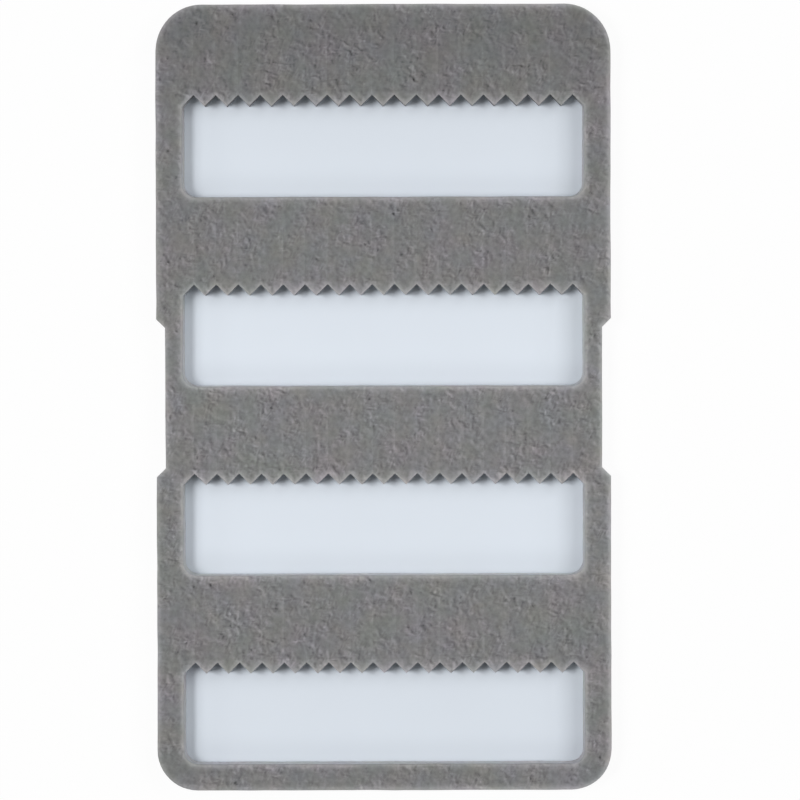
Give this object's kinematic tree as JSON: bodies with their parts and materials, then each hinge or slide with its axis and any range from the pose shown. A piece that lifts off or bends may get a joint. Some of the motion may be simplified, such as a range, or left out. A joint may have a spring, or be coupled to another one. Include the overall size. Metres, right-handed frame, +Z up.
{
  "type": "fly box foam insert",
  "caption": "Flat foam insert leaf for a dry-fly box: slotted zig-zag foam bars over open windows on a white backing plate.",
  "frame": {"origin": "centre of the backing plate's underside", "axes": "+Y along the leaf's length towards its deep top band, +X across it, +Z up out of the foam's face"},
  "size_m": [0.102, 0.1764, 0.0082],
  "materials": {
    "grey_foam": "matte",
    "clear_adhesive": "satin",
    "white_plastic": "satin"
  },
  "bodies": {
    "root": {"foam_pad": "grey_foam", "adhesive_film": "clear_adhesive", "backing_plate": "white_plastic"}
  },
  "joints": []
}
